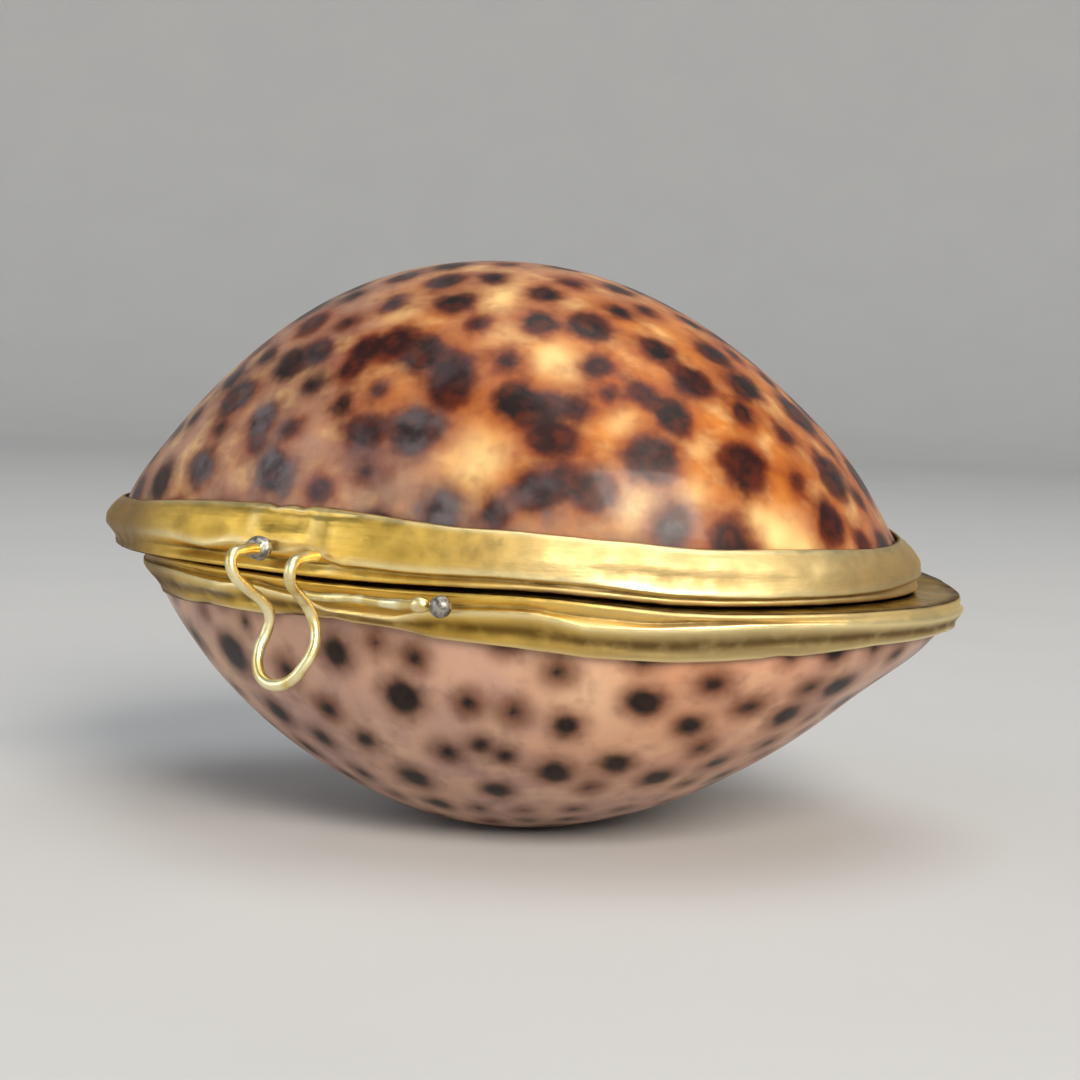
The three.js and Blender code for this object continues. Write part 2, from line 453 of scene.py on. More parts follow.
@dataclass(frozen=True)
class CowrieLining:
    """The unpigmented inside of a cowrie, smooth as glazed china, with faint growth lines."""

    name: str = "cowrie_lining"
    pale: str = "E3D8D2"
    lilac: str = "B9A6AE"

    def build(self) -> bpy.types.Material:
        """Makes the material."""
        tree = NodeTree(self.name)
        lines = tree.ranged(tree.grain(1.6, 3, (14, 1, 1)), 0.4, 0.65, 0, 0.25)
        clouds = tree.ranged(tree.grain(14, 2), 0.35, 0.7)
        colour = tree.blend(clouds, self.pale, self.lilac)
        tree.drive("Base Color", tree.blend(lines, colour, "8F7468"))
        tree.drive("Roughness", tree.ranged(tree.grain(5, 3), 0.3, 0.7, 0.2, 0.36))
        tree.bump(tree.grain(2.2, 3, (10, 1, 1)), 0.03)
        tree.fix(IOR=1.5, Coat_Weight=0.3, Coat_Roughness=0.15)
        return tree.material


@dataclass(frozen=True)
class WroughtBrass:
    """Sheet brass beaten and worn by hand, with a soft lustre, streaked along the band: brown with tarnish
    in its hollows, painted shade below the lower band's ridge, dull brown ends with painted shade at the
    left end, a painted highlight on its ridges and top edge, and a pale painted sheen over one stretch."""

    name: str = "wrought_brass"
    fresh: str = "F4CC66"
    rubbed_highlight: str = "FBE9B0"
    aged: str = "DDB452"
    sheen_colour: str = "D2C090"
    # the tarnish brown, which also serves as painted shade
    tarnish_and_shade: str = "553A16"
    # the dull brown of the ends, which also serves as painted shade
    dull: str = "8C7250"

    def build(self) -> bpy.types.Material:
        """Makes the material, which reads the attributes that a rim writes."""
        tree = NodeTree(self.name)
        hollow = tree.attribute("hollow")
        dull_and_shade = tree.attribute("dull_and_shade")
        raised = tree.attribute("raised")
        painted_sheen = tree.attribute("painted_sheen")
        streaks = tree.grain(0.55, 4, (9, 9, 1))
        patches = tree.ranged(tree.grain(5.5, 4), 0.36, 0.66)
        colour = tree.blend(patches, self.fresh, self.aged)
        colour = tree.blend(tree.times(tree.ranged(streaks, 0.5, 0.72), 0.45), colour, self.aged)
        # painted sheen: a pale colour stands for the light's reflection spread over the band
        colour = tree.blend(tree.times(painted_sheen, 0.8), colour, self.sheen_colour)
        # painted highlight: the ridges, the top edge and the raised creases turn pale cream, on top of
        # their real wear
        colour = tree.blend(tree.times(raised, 0.75), colour, self.rubbed_highlight)
        # dull brown ends of the band, which also stand in for shade at the left end
        colour = tree.blend(tree.times(dull_and_shade, 0.85), colour, self.dull)
        # tarnish in the groove, by the seam, under the top edge, in dents and inside, and painted shade
        # below the lower band's ridge
        tarnish_and_shade_share = tree.times(hollow, tree.ranged(tree.grain(2.0, 3), 0.25, 0.6, 0.6, 1.0))
        colour = tree.blend(tarnish_and_shade_share, colour, self.tarnish_and_shade)
        tree.drive("Base Color", colour)
        rough = tree.ranged(tree.grain(1.8, 4), 0.3, 0.7, 0.32, 0.48)
        rough = tree.plus(rough, tree.times(dull_and_shade, 0.2))
        matted = tree.times(painted_sheen, tree.minus(1.0, raised))
        rough = tree.plus(rough, tree.times(matted, 0.2))
        tree.drive("Roughness", rough)
        wear = tree.plus(tree.times(streaks, 0.4), tree.grain(2.4, 3, (2, 2, 1)))
        tree.bump(wear, 0.15)
        tree.fix(Metallic=1.0)
        return tree.material


@dataclass(frozen=True)
class DrawnBrass:
    """Drawn brass wire and rod, paler and brighter than the sheet because it is handled."""

    name: str = "drawn_brass"
    bright: str = "FBF0C0"
    aged: str = "E0C980"

    def build(self) -> bpy.types.Material:
        """Makes the material."""
        tree = NodeTree(self.name)
        worn = tree.ranged(tree.grain(1.7, 3), 0.4, 0.68)
        tree.drive("Base Color", tree.blend(worn, self.bright, self.aged))
        tree.drive("Roughness", tree.ranged(tree.grain(0.9, 3), 0.3, 0.7, 0.3, 0.42))
        tree.bump(tree.grain(0.7, 2), 0.02)
        tree.fix(Metallic=1.0)
        return tree.material


@dataclass(frozen=True)
class SoftSolder:
    """Tin-lead solder, a dull grey metal that froze in a lump with a wrinkled skin."""

    name: str = "soft_solder"
    bright: str = "AEABA3"
    dull: str = "7C7972"

    def build(self) -> bpy.types.Material:
        """Makes the material."""
        tree = NodeTree(self.name)
        skin = tree.grain(0.45, 4)
        tree.drive("Base Color", tree.blend(tree.ranged(skin, 0.38, 0.62), self.dull, self.bright))
        tree.drive("Roughness", tree.ranged(skin, 0.3, 0.7, 0.3, 0.5))
        tree.bump(tree.grain(0.8, 2), 0.04)
        tree.fix(Metallic=1.0)
        return tree.material


LID_ENAMEL = CowrieEnamel(
    name="cowrie_enamel_dark",
    ground="B98663",
    ground_cool="9E7D6C",
    ground_warm="C8782B",
    ground_bright="F6D08A",
    halo="5A2B1A",
    halo_warm="7A2D08",
    core="0D0605",
    core_red="240705",
    veil="625C60",
    edge_wander=0.8,
    halo_reach=2.7,
    halo_share=0.94,
    core_reach=0.75,
    core_full=0.7,
    wisps=0.5,
    curdling=0.32,
)
BASE_ENAMEL = CowrieEnamel(
    name="cowrie_enamel_pale",
    ground="C69C84",
    ground_cool="AF8B80",
    ground_warm="D29873",
    ground_bright="E2BC9A",
    halo="5F3B29",
    halo_warm="6E3A20",
    core="060302",
    core_red="180804",
    veil="A08C80",
    wisps=0.4,
    halo_reach=1.8,
    core_reach=0.15,
    core_full=1.0,
)


# ---- the spots ----------------------------------------------------------------------


class SpotKind(Enum):
    """How a spot looks: its darkness, its redness and how far it lies under milky layers."""

    BLACK = (1.0, 0.0, 0.0)
    BROWN = (0.6, 0.45, 0.0)
    MAROON = (0.92, 1.0, 0.0)
    MILKY = (0.9, 0.25, 0.6)
    DUSKY = (0.95, 0.6, 0.25)


@dataclass(frozen=True)
class Spot:
    """One spot, placed as the front of the box is seen, straight on.

    Args:
        along: Its place along the box, +X to the right.
        height: Its height above the ground.
        radius: The radius of its dark middle.
        kind: How it looks.
    """

    along: float
    height: float
    radius: float
    kind: SpotKind = SpotKind.BLACK


@dataclass(frozen=True)
class Glow:
    """A patch of the ground that is warmer, paler or mistier than the rest. Its warmth is partly the
    shell's own amber and partly a painted glow of light shining through the thin shell.
    """

    along: float
    height: float
    reach: float
    amber_glow: float
    bright: float = 0.0
    veil: float = 0.0


@dataclass
class Mottle:
    """The spots of one shell half: the large ones at the front listed one by one, the rest scattered."""

    spots: Sequence[Spot]
    glows: Sequence[Glow]
    seed: int
    smallest: float
    largest: float
    gap: float
    kinds: Sequence[SpotKind]
    crowding: float = 2.2  # how loosely neighbours keep apart, per mm: a low one melts them together
    size: float = 1.0  # enlarges the listed spots
    tries: int = 9000  # how often a place for one more spot is looked for

    def scattered(
        self, places: np.ndarray, pale: np.ndarray, taken: list[tuple[np.ndarray, float]]
    ) -> list[SpotKind]:
        """Fills the rest of the surface with spots that keep their distance.

        Args:
            places: The surface's vertices in millimetres.
            pale: How pale each is, because a pale patch has no spots.
            taken: The centres and radii so far, which grows.

        Returns:
            The kinds of the new spots, in order.
        """
        draw = random.Random(self.seed)
        kinds = []
        centres = np.array([centre for centre, _ in taken])
        radii = np.array([radius for _, radius in taken])
        for _ in range(self.tries):
            index = draw.randrange(len(places))
            radius = self.smallest + (self.largest - self.smallest) * draw.random() ** 1.6
            kind = draw.choice(list(self.kinds))
            room = np.linalg.norm(centres - places[index], axis=1) - radii - radius
            if room.min() < self.gap or pale[index] > 0.3:
                continue
            centres = np.vstack([centres, places[index]])
            radii = np.append(radii, radius)
            taken.append((places[index], radius))
            kinds.append(kind)
        return kinds

    def glowing(self, places: np.ndarray, away_from_front: np.ndarray) -> np.ndarray:
        """How warm, pale and misty the ground is, as a (3, n) array.

        Args:
            places: The surface's vertices in millimetres.
            away_from_front: Large for every vertex that isn't on the front.
        """
        found = np.zeros((3, len(places)))
        for glow in self.glows:
            away = np.hypot(places[:, 0] - glow.along, places[:, 2] - glow.height) + away_from_front
            lump = np.exp(-((away / glow.reach) ** 2))
            found += np.outer((glow.amber_glow, glow.bright, glow.veil), lump)
        return np.clip(found, 0, 1)

    def write(self, obj: Object, places: np.ndarray) -> None:
        """Writes the attributes that the enamel reads.

        Args:
            obj: The shell's mesh.
            places: Its vertices in millimetres, in the row frame.
        """
        hidden = np.where(places[:, 1] < 0, 0.0, FAR)  # the front looks along -Y
        behind = 1.5 * np.clip(places[:, 1], 0, FAR)
        amber_glow, bright, mist = self.glowing(places, behind)
        taken: list[tuple[np.ndarray, float]] = []
        for spot in self.spots:
            away = np.hypot(places[:, 0] - spot.along, places[:, 2] - spot.height) + hidden
            taken.append((places[int(away.argmin())], spot.radius * self.size))
        kinds = [spot.kind for spot in self.spots] + self.scattered(places, bright, taken)
        total = np.full(len(places), 1e-9)
        looks = np.zeros((3, len(places)))
        for (centre, radius), kind in zip(taken, kinds):
            pull = np.exp(self.crowding * np.clip(radius - np.linalg.norm(places - centre, axis=1), -9, 9))
            total += pull
            looks += np.outer(kind.value, pull)
        inside = np.log(total) / self.crowding
        looks /= total
        for name, values in (
            ("inside", inside),
            ("darkness", looks[0]),
            ("redness", looks[1]),
            ("veil", np.clip(looks[2] * smoothstep(-1.2, 0.4, inside) + mist, 0, 1)),
            ("amber_glow", amber_glow),
            ("bright", bright),
        ):
            write_attribute(obj, name, values)
        log.info("%d spots on %s", len(taken), obj.name)


BLACK, BROWN, MAROON, MILKY, DUSKY = SpotKind

LID_MOTTLE = Mottle(
    spots=(
        Spot(-32, 33, 1.6), Spot(-26, 35, 1.5, MILKY), Spot(-30, 40, 0.9), Spot(-24, 42, 1.9, DUSKY),
        Spot(-25, 39, 1.0, BROWN), Spot(-20, 40, 1.3, MILKY), Spot(-20, 37.5, 1.1, BROWN),
        Spot(-17, 35, 1.9, MILKY), Spot(-18.5, 45.5, 1.6), Spot(-15.5, 46.5, 1.4, DUSKY),
        Spot(-13.5, 49.5, 1.0, BROWN), Spot(-11, 45, 1.2, MAROON), Spot(-10, 47, 1.4, MAROON),
        Spot(-7, 47.5, 1.9, MAROON), Spot(-4, 46.5, 2.0, DUSKY), Spot(-1, 45, 1.9, DUSKY),
        Spot(-0.5, 43, 1.5, MAROON), Spot(-3, 51.5, 1.6), Spot(0, 49.5, 1.1, MAROON),
        Spot(4, 46, 1.1, MAROON), Spot(-8, 39.5, 1.7, DUSKY), Spot(-3, 40, 2.0, MILKY),
        Spot(-7, 36, 1.1, BROWN), Spot(0, 32.5, 1.6, MILKY), Spot(6, 42.5, 1.9),
        Spot(8.5, 42, 1.7, DUSKY), Spot(11, 42, 1.3, MAROON), Spot(9.5, 39.5, 1.8, MAROON),
        Spot(9, 35, 1.7, DUSKY), Spot(11, 36, 1.3, MAROON), Spot(13.5, 35, 1.7, MAROON),
        Spot(5.5, 50, 1.4), Spot(5, 52.5, 1.2), Spot(10, 49.5, 1.7), Spot(12, 46, 1.2, MAROON),
        Spot(13.5, 43.5, 1.1, BROWN), Spot(16, 47.5, 1.5), Spot(16, 43.5, 1.3, MAROON),
        Spot(19, 41.5, 1.6), Spot(20, 44.5, 1.9, MAROON), Spot(20, 47.5, 1.6), Spot(23.5, 44.5, 1.9),
        Spot(24.5, 42, 1.3), Spot(18, 38, 2.0, DUSKY), Spot(25.5, 37.5, 2.0, MAROON),
        Spot(20.5, 33, 1.7, MILKY), Spot(25, 31, 2.1, MAROON), Spot(28, 40, 1.3, BROWN),
        Spot(32, 36.5, 2.0), Spot(32.5, 33, 1.6, MAROON), Spot(37, 30.5, 1.7),
    ),
    # the amber glows are partly a painted glow of light shining through the thin shell
    glows=(
        Glow(22, 40, 12, 1.0), Glow(8, 46, 10, 0.9), Glow(5, 37, 6, 0.5), Glow(-8, 43, 4, 0.7),
        Glow(-5, 50, 5, 0.6), Glow(33, 34, 6, 0.6), Glow(-8, 50.5, 1.8, 0.0, 0.6),
        Glow(1, 52, 1.8, 0.0, 0.8), Glow(7.5, 46.5, 1.7, 0.0, 0.9), Glow(10, 45.5, 1.6, 0.0, 0.7),
        Glow(3.5, 37.5, 2.4, 0.0, 0.6), Glow(2.5, 35.5, 2.0, 0.0, 0.4), Glow(15, 41, 1.4, 0.0, 0.6),
        Glow(17, 34.5, 2.2, 0.0, 0.8), Glow(21.5, 35, 1.3, 0.0, 0.7), Glow(26.5, 33.5, 1.3, 0.0, 0.8),
        Glow(28.5, 32, 1.6, 0.0, 1.0), Glow(31, 30.5, 1.5, 0.0, 0.9), Glow(-19, 36, 7, 0.0, 0.0, 0.32),
        Glow(2, 33, 5, 0.0, 0.1, 0.35), Glow(16, 31.5, 4, 0.0, 0.1, 0.45),
        Glow(8, 31.8, 4, 0.0, 0.05, 0.45), Glow(-7, 33, 5, 0.0, 0.1, 0.35),
    ),
    seed=41,
    size=1.12,
    crowding=1.8,
    smallest=1.0,
    largest=2.3,
    gap=1.35,
    kinds=(BLACK, BLACK, MAROON, DUSKY, BROWN),
)

BASE_MOTTLE = Mottle(
    spots=(
        Spot(-29, 18, 1.3, BROWN), Spot(-23, 17.5, 1.9), Spot(-16, 17, 1.1, BROWN), Spot(-10, 19, 1.6),
        Spot(-6, 20.5, 1.0, BROWN), Spot(-2, 19.5, 1.1, BROWN), Spot(-3.5, 15.5, 1.9),
        Spot(3, 15.5, 1.2, BROWN), Spot(7, 15, 1.3, BROWN), Spot(11, 19, 1.3, BROWN), Spot(11.5, 14, 1.3),
        Spot(18.5, 16.5, 1.7), Spot(24.5, 19, 1.5, BROWN), Spot(22, 14, 1.3), Spot(27, 16, 1.3, BROWN),
        Spot(29.5, 14.5, 1.6), Spot(32, 18, 1.1, BROWN), Spot(34, 18, 1.6), Spot(-12, 13.5, 1.3, BROWN),
        Spot(-19, 12, 1.5), Spot(-8.5, 10.5, 1.1), Spot(-14, 10, 1.2), Spot(0, 10.5, 1.2),
        Spot(3.5, 11.5, 0.9), Spot(5.5, 10.5, 1.0), Spot(-4.5, 7, 1.7), Spot(3.5, 6.5, 1.2),
        Spot(9.5, 9, 1.6), Spot(15, 10, 1.4), Spot(18, 8, 1.4), Spot(12, 7, 1.0, BROWN),
        Spot(22.5, 11.5, 1.0, BROWN), Spot(23, 9.5, 1.0),
    ),
    # the amber glows are partly a painted glow of light shining through the thin shell
    glows=(
        Glow(20, 18, 12, 0.75), Glow(27, 21, 7, 0.4), Glow(14, 17, 4, 0.1, 0.55),
        Glow(10, 21, 7, 0.1, 0.3),
    ),
    seed=17,
    size=1.13,
    smallest=0.7,
    largest=1.5,
    gap=2.0,
    kinds=(BLACK, BLACK, BLACK, BROWN),
)


# ---- the egg-shaped outline ---------------------------------------------------------


@dataclass(frozen=True)
class Outline:
    """The egg-shaped line that the shells' cut edges and the rims follow."""

    half_length: float = 40.1
    half_width: float = 28.2
    egg: float = 0.05

    def point(self, angle: np.ndarray) -> np.ndarray:
        """The outline's points at angles in radians, as an (n, 2) array."""
        x = self.half_length * np.cos(angle)
        y = self.half_width * np.sin(angle) * (1 + self.egg * np.cos(angle))
        return np.stack([x, y], axis=-1)

    def frame(self, angle: np.ndarray) -> tuple[np.ndarray, np.ndarray, np.ndarray]:
        """The outline's points, unit tangents and outward normals at angles in radians."""
        step = 1e-4
        tangent = self.point(angle + step) - self.point(angle - step)
        tangent /= np.linalg.norm(tangent, axis=-1, keepdims=True)
        normal = np.stack([tangent[..., 1], -tangent[..., 0]], axis=-1)
        return self.point(angle), tangent, normal

    def beside(self, angle: np.ndarray, out: np.ndarray, height: np.ndarray) -> np.ndarray:
        """Points out from the outline at heights, as an (n, 3) array."""
        at, _, normal = self.frame(angle)
        spread = at + normal * np.asarray(out)[..., None]
        return np.concatenate([spread, np.broadcast_to(height, spread.shape[:-1])[..., None]], axis=-1)


@dataclass(frozen=True)
class DomeForm:
    """The bulge of one shell half above its upright wall.

    Lengthwise it is pointed and across it is rounder, and its top drifts off the middle.
    """

    depth: float
    power: float
    fullness: float
    drift: tuple[float, float]
    flat_cut: float = 0.0
    straight: float = 3.15
    across: float = 0.58

    def share(self, x: np.ndarray, y: np.ndarray) -> np.ndarray:
        """The rise as a share of the depth, at places in the unit circle."""
        open_width = np.maximum(1 - x * x, 1e-9)
        along = np.maximum(1 - np.abs(x) ** self.power, 0) ** self.fullness
        return along * np.maximum((open_width - y * y) / open_width, 0) ** self.across

    def drawn_in(self, outline: Outline, angle: np.ndarray, height: np.ndarray) -> np.ndarray:
        """How far the dome has drawn in from its outline at heights above the seam."""
        inner = np.full(angle.shape, 0.5)
        outer = np.ones(angle.shape)
        for _ in range(24):
            middle = (inner + outer) / 2
            share = self.share(middle * np.cos(angle), middle * np.sin(angle))
            above = self.straight + self.depth * share > height
            inner = np.where(above, middle, inner)
            outer = np.where(above, outer, middle)
        at, _, normal = outline.frame(angle)
        found = (1 - outer) * (at * normal).sum(axis=-1)
        return np.where(height > self.straight, found, 0.0)


OUTLINE = Outline()
LOWER_FORM = DomeForm(depth=23.4, power=1.94, fullness=0.92, drift=(-2.0, -0.8), flat_cut=0.5)
UPPER_FORM = DomeForm(depth=27.0, power=2.07, fullness=0.89, drift=(-1.0, 0.0))


def middle_of(node: str) -> tuple[float, float]:
    """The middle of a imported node's plan, in millimetres."""
    low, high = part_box(node)
    return (low[0] + high[0]) / 2 / MM, (low[1] + high[1]) / 2 / MM


def seam_height() -> float:
    """The height of the seam between the two rims, in millimetres."""
    return (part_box("lower_rim")[1][2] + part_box("upper_rim")[0][2]) / 2 / MM


@dataclass(frozen=True)
class Half:
    """Which half of the box a piece belongs to, and where that half's outline lies."""

    body: str
    up: float  # 1 for the lid and -1 for the base
    centre: tuple[float, float, float]

    @property
    def offset(self) -> float:
        """How far this half's middle is to the right of the base's, in millimetres."""
        return self.centre[0] - BASE.centre[0]

    def placed(self, points: np.ndarray) -> np.ndarray:
        """Takes points above the seam to the row frame, in metres."""
        return (points * (1, 1, self.up) + self.centre) * MM


SEAM = seam_height()
LID = Half("lid", 1.0, (*middle_of("upper_rim"), SEAM))
BASE = Half("base", -1.0, (*middle_of("lower_rim"), SEAM))


# ---- shell halves -------------------------------------------------------------------


@dataclass
class ShellHalf:
    """One half of the cowrie, cut lengthwise: a thin dome with a glossy spotted outside."""

    name: str
    node: str
    half: Half
    form: DomeForm
    mottle: Mottle
    enamel: CowrieEnamel
    slot: str
    wall: float = 1.9
    edge_gap: float = 1.0  # from the seam to the cut edge
    segments: int = 448
    rings: int = 176  # on the whole ball that the dome starts as
    swell: float = 0.14  # height of the dome's slight unevenness

    def started(self) -> Object:
        """A ball cut at its equator, with a short wall drawn down from the cut."""
        deselect_all()
        bpy.ops.mesh.primitive_uv_sphere_add(segments=self.segments, ring_count=self.rings, radius=1)
        obj = bpy.context.object
        with editing():
            bpy.ops.mesh.bisect(plane_co=(0, 0, 0), plane_no=(0, 0, 1), clear_inner=True, threshold=1e-5)
            for _ in range(2):
                bpy.ops.mesh.select_all(action="SELECT")
                bpy.ops.mesh.region_to_loop()
                bpy.ops.mesh.extrude_region_move(TRANSFORM_OT_translate={"value": (0, 0, -0.5)})
        return obj

    def shaped(self, unit: np.ndarray) -> np.ndarray:
        """Takes the started ball's vertices to the dome, in millimetres above the seam."""
        x, y, level = unit.T
        reach = np.minimum(x * x + y * y, 1)
        rise = np.minimum(self.form.depth * self.form.share(x, y), self.form.depth - self.form.flat_cut)
        wall = self.form.straight + (self.form.straight - self.edge_gap) * np.minimum(level, 0)
        height = np.where(level > 1e-4, self.form.straight + rise, wall)
        drift_x, drift_y = (d * (1 - reach) for d in self.form.drift)
        width = OUTLINE.half_width * (1 + OUTLINE.egg * x)
        return np.stack([OUTLINE.half_length * x + drift_x, width * y + drift_y, height], axis=-1)

    def build(self) -> None:
        """Models the half, writes its spots and gives it its wall."""
        obj = self.started()
        move_vertices(obj, self.half.placed(self.shaped(coordinates(obj))))
        outward(obj)
        places = coordinates(obj) / MM
        above = np.abs(places[:, 2] - SEAM)
        still = smoothstep(5, 9, above) * smoothstep(0.3, 2.5, places[:, 2])
        swelling = self.swell * still * ripple(places, 13, self.mottle.seed)
        places += coordinates(obj, "normal") * swelling[:, None]
        move_vertices(obj, places * MM)
        self.mottle.write(obj, places)
        lining = CowrieLining(name=f"cowrie_lining_{self.half.body}").build()
        obj.data.materials.append(lining)
        obj.data.materials.append(lining)
        apply_modifier(
            obj, "SOLIDIFY", thickness=self.wall * MM, offset=-1, use_even_offset=True,
            material_offset=1, material_offset_rim=1,
        )
        slots = [polygon.material_index for polygon in obj.data.polygons]
        smooth_shaded(obj, 60)
        hand_over(obj, self.name, self.half.body, self.node, self.slot, self.enamel.build(), lining)
        for polygon, index in zip(obj.data.polygons, slots):
            polygon.material_index = index


# ---- brass rims ---------------------------------------------------------------------


@dataclass(frozen=True)
class Ridge:
    """How the band's ridge runs at one place of the front: its height and how far out it is."""

    along: float
    height: float
    out: float
    groove: float  # depth of the hollow between the ridge and the seam lip
    top: float = 5.05  # where the band's free edge is


@dataclass(frozen=True)
class Mark:
    """A dent (negative) or a raised crease (positive) that the maker's tools left."""

    along: float
    height: float
    length: float
    tall: float
    out: float

    def closeness(self, along: np.ndarray, height: np.ndarray) -> np.ndarray:
        """How near places are to the mark's middle: 1 there, and fading to 0."""
        away = ((along - self.along) / self.length) ** 2 + ((height - self.height) / self.tall) ** 2
        return np.exp(-away)


@dataclass
class Rim:
    """Sheet brass folded round a shell's cut edge: an outer band with a beaten ridge, a
    flange in the seam and a short lip inside."""

    name: str
    node: str
    half: Half
    form: DomeForm
    ridges: Sequence[Ridge]
    marks: Sequence[Mark]
    notches: Sequence[tuple[float, float, float]]  # along, width and drop of the top edge
    dull_and_shaded_ends: tuple[float, float]  # the front's dull brown stretches, also painted shade at the left end: up to, and from, this place
    sheen_span: tuple[float, float]  # between these places the band gets a pale painted sheen and rougher brass
    seed: int
    seam_gap: float = 0.2
    clearance: float = 0.3
    flange_top: float = 0.7
    inner_lip: float = 2.3
    sheet: float = 0.6
    wall: float = 1.9
    shaded: float = 0.0  # how much painted shade darkens the band below its ridge
    seam_lip: float = 1.64  # how far out the fold along the seam stands
    edge: float = 0.86  # how far out the band's free edge stands
    face: tuple[tuple[float, float], ...] = ((0.97, 0.14), (0.86, 0.38), (0.6, 0.66), (0.27, 0.88))
    resting_at: tuple[float, ...] = (20.0, 90.0, 160.0)  # degrees round the back
    hammered: tuple[tuple[float, float], ...] = ((0.09, 5.5), (0.04, 2.2))  # depth and width
    fold_depth: float = 0.1
    around: int = 1300
    section: int = 60

    def along_the_rim(self, angle: np.ndarray, name: str, resting: float) -> np.ndarray:
        """Runs a value round the rim: through the ridge stations at the front, and level behind.

        Args:
            angle: The places' angles in radians.
            name: Which value of a ridge station it is.
            resting: The value at the back.

        Returns:
            One value for each place.
        """
        stations = [(degrees, resting) for degrees in self.resting_at]
        for ridge in self.ridges:
            reach = np.clip((ridge.along - self.half.offset) / OUTLINE.half_length, -1, 1)
            stations.append((360 - math.degrees(math.acos(reach)), getattr(ridge, name)))
        stations.sort()
        found = np.interp(np.degrees(angle) % 360, *zip(*stations), period=360)
        window = np.hanning(9)
        padded = np.concatenate([found[-4:], found, found[:4]])
        return np.convolve(padded, window / window.sum(), mode="valid")

    def keys(self, angle: np.ndarray) -> np.ndarray:
        """The section's main points round the rim, as a (points, places, 2) array of out and height.

        Args:
            angle: One angle for each place round the rim.

        Returns:
            The points, from the seam lip up the outside, over the top and down the inside.
        """
        resting = {"height": 1.7, "out": 1.85, "groove": 0.3, "top": 5.05}
        height, out, groove, top = (self.along_the_rim(angle, *pair) for pair in resting.items())
        at = OUTLINE.beside(angle, np.zeros(angle.shape), np.zeros(angle.shape))
        height = height + 0.22 * ripple(at, 9, self.seed)
        top = top + 0.1 * ripple(at, 7, self.seed + 5) - 0.06
        front = at[:, 1] < 0
        for along, width, drop in self.notches:
            near = at[:, 0] + self.half.offset - along
            top = top - np.where(front, drop * np.exp(-((near / width) ** 2)), 0)
        inner = -self.wall - self.clearance
        folded = inner - self.sheet
        hollow = np.clip(height - 0.45, 0.85, 1.45)
        brow = top - 0.22
        outer_points = [
            (1.2, self.seam_gap),
            (self.seam_lip - 0.16, self.seam_gap + 0.03),
            (self.seam_lip, 0.44),
            (self.seam_lip - 0.03, 0.66),
            (self.seam_lip - 0.1 - groove, hollow),
            (out - 0.2 - groove * 0.35, (hollow + height) / 2),
            (out - 0.02, height - 0.1),
            (out, height + 0.1),
        ]
        for outward_share, upward_share in self.face:
            outer_points.append(
                (self.edge + (out - self.edge) * outward_share, height + (brow - height) * upward_share)
            )
        outer_points += [
            (self.edge, brow),
            (self.edge - 0.12, top - 0.05),
            (self.edge - 0.3, top),
            (self.clearance, top - 0.1),
        ]
        inner_points = [
            (self.clearance, self.form.straight),
            (self.clearance, self.flange_top + 0.2),
            (self.clearance - 0.2, self.flange_top),
            (inner + 0.1, self.flange_top),
            (inner, self.flange_top + 0.1),
            (inner, self.inner_lip - 0.1),
            (inner - 0.15, self.inner_lip),
            (folded + 0.15, self.inner_lip),
            (folded, self.inner_lip - 0.15),
            (folded, self.seam_gap + 0.1),
            (folded + 0.1, self.seam_gap),
        ]
        every_point = outer_points + inner_points
        points = np.array([[np.broadcast_to(part, angle.shape) for part in point] for point in every_point])
        tucked = self.form.drawn_in(OUTLINE, angle, top)
        rise = np.clip((points[:, 1] - self.form.straight) / (top - self.form.straight), 0, 1)
        points[: len(outer_points), 0] -= (rise**1.2 * tucked)[: len(outer_points)]
        return points.transpose(0, 2, 1)

    @property
    def outer_keys(self) -> int:
        """How many of the section's main points are on the outside."""
        return 12 + len(self.face)

    def section_places(self, keys: np.ndarray) -> tuple[np.ndarray, int]:
        """Rounds the main points into a smooth closed section with the wanted number of points.

        Args:
            keys: A (points, places, 2) array.

        Returns:
            A (section, places, 2) array, and how many of its points are on the outside.
        """
        count = len(keys)
        step = np.linalg.norm(np.roll(keys, -1, axis=0) - keys, axis=2).mean(axis=1)
        weight = np.sqrt(step)  # short steps get more than their share of points
        weight[: self.outer_keys] *= 2.2
        edges = np.concatenate([[0], np.cumsum(weight)]) / weight.sum()
        places = []
        for share in np.arange(self.section) / self.section:
            first = int(np.searchsorted(edges, share, side="right")) - 1
            t = (share - edges[first]) / (edges[first + 1] - edges[first])
            a, b, c, d = (keys[(first + k) % count] for k in (-1, 0, 1, 2))
            curve = 0.5 * (2 * b + (c - a) * t + (2 * a - 5 * b + 4 * c - d) * t**2
                           + (3 * b - a - 3 * c + d) * t**3)
            straight = b + (c - b) * t
            places.append(0.75 * curve + 0.25 * straight)
        return np.array(places), int(edges[self.outer_keys - 1] * self.section)

